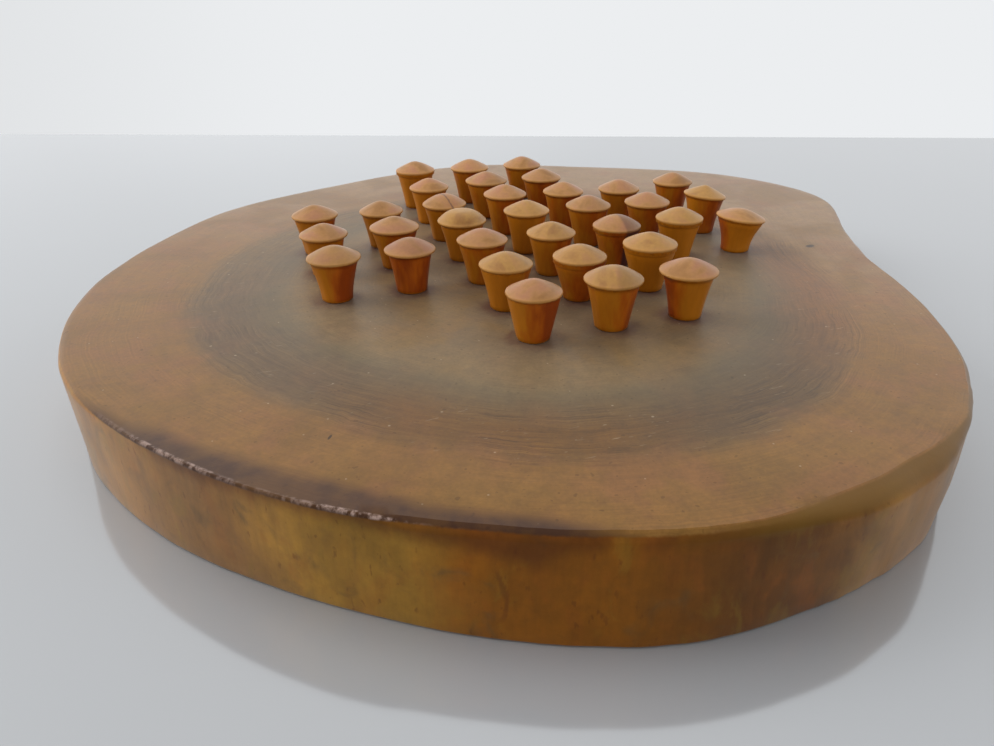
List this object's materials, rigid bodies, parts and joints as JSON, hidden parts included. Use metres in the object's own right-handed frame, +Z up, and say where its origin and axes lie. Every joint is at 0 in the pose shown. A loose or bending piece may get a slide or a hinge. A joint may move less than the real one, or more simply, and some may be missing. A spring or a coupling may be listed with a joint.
{
  "type": "peg solitaire board",
  "caption": "Round-cornered natural log-slice game board with a cross of blind holes, each holding a turned, flared wooden peg with a low conical head.",
  "frame": {"origin": "on the flat underside of the slab, below the centre hole", "axes": "+Z up out of the playing face; +Y along a column of holes to the back row; +X along a row of holes to the right"},
  "size_m": [0.3011, 0.3052, 0.0461],
  "materials": {
    "slab_wood": "satin varnish",
    "peg_wood": "satin varnish"
  },
  "bodies": {
    "board": {"board_slab": "slab_wood"},
    "peg_c1": {"peg_c1": "peg_wood"},
    "peg_d1": {"peg_d1": "peg_wood"},
    "peg_e1": {"peg_e1": "peg_wood"},
    "peg_c2": {"peg_c2": "peg_wood"},
    "peg_d2": {"peg_d2": "peg_wood"},
    "peg_e2": {"peg_e2": "peg_wood"},
    "peg_a3": {"peg_a3": "peg_wood"},
    "peg_b3": {"peg_b3": "peg_wood"},
    "peg_c3": {"peg_c3": "peg_wood"},
    "peg_d3": {"peg_d3": "peg_wood"},
    "peg_e3": {"peg_e3": "peg_wood"},
    "peg_f3": {"peg_f3": "peg_wood"},
    "peg_g3": {"peg_g3": "peg_wood"},
    "peg_a4": {"peg_a4": "peg_wood"},
    "peg_b4": {"peg_b4": "peg_wood"},
    "peg_c4": {"peg_c4": "peg_wood"},
    "peg_d4": {"peg_d4": "peg_wood"},
    "peg_e4": {"peg_e4": "peg_wood"},
    "peg_f4": {"peg_f4": "peg_wood"},
    "peg_g4": {"peg_g4": "peg_wood"},
    "peg_a5": {"peg_a5": "peg_wood"},
    "peg_b5": {"peg_b5": "peg_wood"},
    "peg_c5": {"peg_c5": "peg_wood"},
    "peg_d5": {"peg_d5": "peg_wood"},
    "peg_e5": {"peg_e5": "peg_wood"},
    "peg_f5": {"peg_f5": "peg_wood"},
    "peg_g5": {"peg_g5": "peg_wood"},
    "peg_c6": {"peg_c6": "peg_wood"},
    "peg_d6": {"peg_d6": "peg_wood"},
    "peg_e6": {"peg_e6": "peg_wood"},
    "peg_c7": {"peg_c7": "peg_wood"},
    "peg_d7": {"peg_d7": "peg_wood"},
    "peg_e7": {"peg_e7": "peg_wood"}
  },
  "joints": [
    {"name": "peg_c1_lift", "type": "slide", "parent": "board", "child": "peg_c1", "axis": [0, 0, 1], "range_m": [0, 0.012]},
    {"name": "peg_d1_lift", "type": "slide", "parent": "board", "child": "peg_d1", "axis": [0, 0, 1], "range_m": [0, 0.012]},
    {"name": "peg_e1_lift", "type": "slide", "parent": "board", "child": "peg_e1", "axis": [0, 0, 1], "range_m": [0, 0.012]},
    {"name": "peg_c2_lift", "type": "slide", "parent": "board", "child": "peg_c2", "axis": [0, 0, 1], "range_m": [0, 0.012]},
    {"name": "peg_d2_lift", "type": "slide", "parent": "board", "child": "peg_d2", "axis": [0, 0, 1], "range_m": [0, 0.012]},
    {"name": "peg_e2_lift", "type": "slide", "parent": "board", "child": "peg_e2", "axis": [0, 0, 1], "range_m": [0, 0.012]},
    {"name": "peg_a3_lift", "type": "slide", "parent": "board", "child": "peg_a3", "axis": [0, 0, 1], "range_m": [0, 0.012]},
    {"name": "peg_b3_lift", "type": "slide", "parent": "board", "child": "peg_b3", "axis": [0, 0, 1], "range_m": [0, 0.012]},
    {"name": "peg_c3_lift", "type": "slide", "parent": "board", "child": "peg_c3", "axis": [0, 0, 1], "range_m": [0, 0.012]},
    {"name": "peg_d3_lift", "type": "slide", "parent": "board", "child": "peg_d3", "axis": [0, 0, 1], "range_m": [0, 0.012]},
    {"name": "peg_e3_lift", "type": "slide", "parent": "board", "child": "peg_e3", "axis": [0, 0, 1], "range_m": [0, 0.012]},
    {"name": "peg_f3_lift", "type": "slide", "parent": "board", "child": "peg_f3", "axis": [0, 0, 1], "range_m": [0, 0.012]},
    {"name": "peg_g3_lift", "type": "slide", "parent": "board", "child": "peg_g3", "axis": [0, 0, 1], "range_m": [0, 0.012]},
    {"name": "peg_a4_lift", "type": "slide", "parent": "board", "child": "peg_a4", "axis": [0, 0, 1], "range_m": [0, 0.012]},
    {"name": "peg_b4_lift", "type": "slide", "parent": "board", "child": "peg_b4", "axis": [0, 0, 1], "range_m": [0, 0.012]},
    {"name": "peg_c4_lift", "type": "slide", "parent": "board", "child": "peg_c4", "axis": [0, 0, 1], "range_m": [0, 0.012]},
    {"name": "peg_d4_lift", "type": "slide", "parent": "board", "child": "peg_d4", "axis": [0, 0, 1], "range_m": [0, 0.012]},
    {"name": "peg_e4_lift", "type": "slide", "parent": "board", "child": "peg_e4", "axis": [0, 0, 1], "range_m": [0, 0.012]},
    {"name": "peg_f4_lift", "type": "slide", "parent": "board", "child": "peg_f4", "axis": [0, 0, 1], "range_m": [0, 0.012]},
    {"name": "peg_g4_lift", "type": "slide", "parent": "board", "child": "peg_g4", "axis": [0, 0, 1], "range_m": [0, 0.012]},
    {"name": "peg_a5_lift", "type": "slide", "parent": "board", "child": "peg_a5", "axis": [0, 0, 1], "range_m": [0, 0.012]},
    {"name": "peg_b5_lift", "type": "slide", "parent": "board", "child": "peg_b5", "axis": [0, 0, 1], "range_m": [0, 0.012]},
    {"name": "peg_c5_lift", "type": "slide", "parent": "board", "child": "peg_c5", "axis": [0, 0, 1], "range_m": [0, 0.012]},
    {"name": "peg_d5_lift", "type": "slide", "parent": "board", "child": "peg_d5", "axis": [0, 0, 1], "range_m": [0, 0.012]},
    {"name": "peg_e5_lift", "type": "slide", "parent": "board", "child": "peg_e5", "axis": [0, 0, 1], "range_m": [0, 0.012]},
    {"name": "peg_f5_lift", "type": "slide", "parent": "board", "child": "peg_f5", "axis": [0, 0, 1], "range_m": [0, 0.012]},
    {"name": "peg_g5_lift", "type": "slide", "parent": "board", "child": "peg_g5", "axis": [0, 0, 1], "range_m": [0, 0.012]},
    {"name": "peg_c6_lift", "type": "slide", "parent": "board", "child": "peg_c6", "axis": [0, 0, 1], "range_m": [0, 0.012]},
    {"name": "peg_d6_lift", "type": "slide", "parent": "board", "child": "peg_d6", "axis": [0, 0, 1], "range_m": [0, 0.012]},
    {"name": "peg_e6_lift", "type": "slide", "parent": "board", "child": "peg_e6", "axis": [0, 0, 1], "range_m": [0, 0.012]},
    {"name": "peg_c7_lift", "type": "slide", "parent": "board", "child": "peg_c7", "axis": [0, 0, 1], "range_m": [0, 0.012]},
    {"name": "peg_d7_lift", "type": "slide", "parent": "board", "child": "peg_d7", "axis": [0, 0, 1], "range_m": [0, 0.012]},
    {"name": "peg_e7_lift", "type": "slide", "parent": "board", "child": "peg_e7", "axis": [0, 0, 1], "range_m": [0, 0.012]}
  ]
}
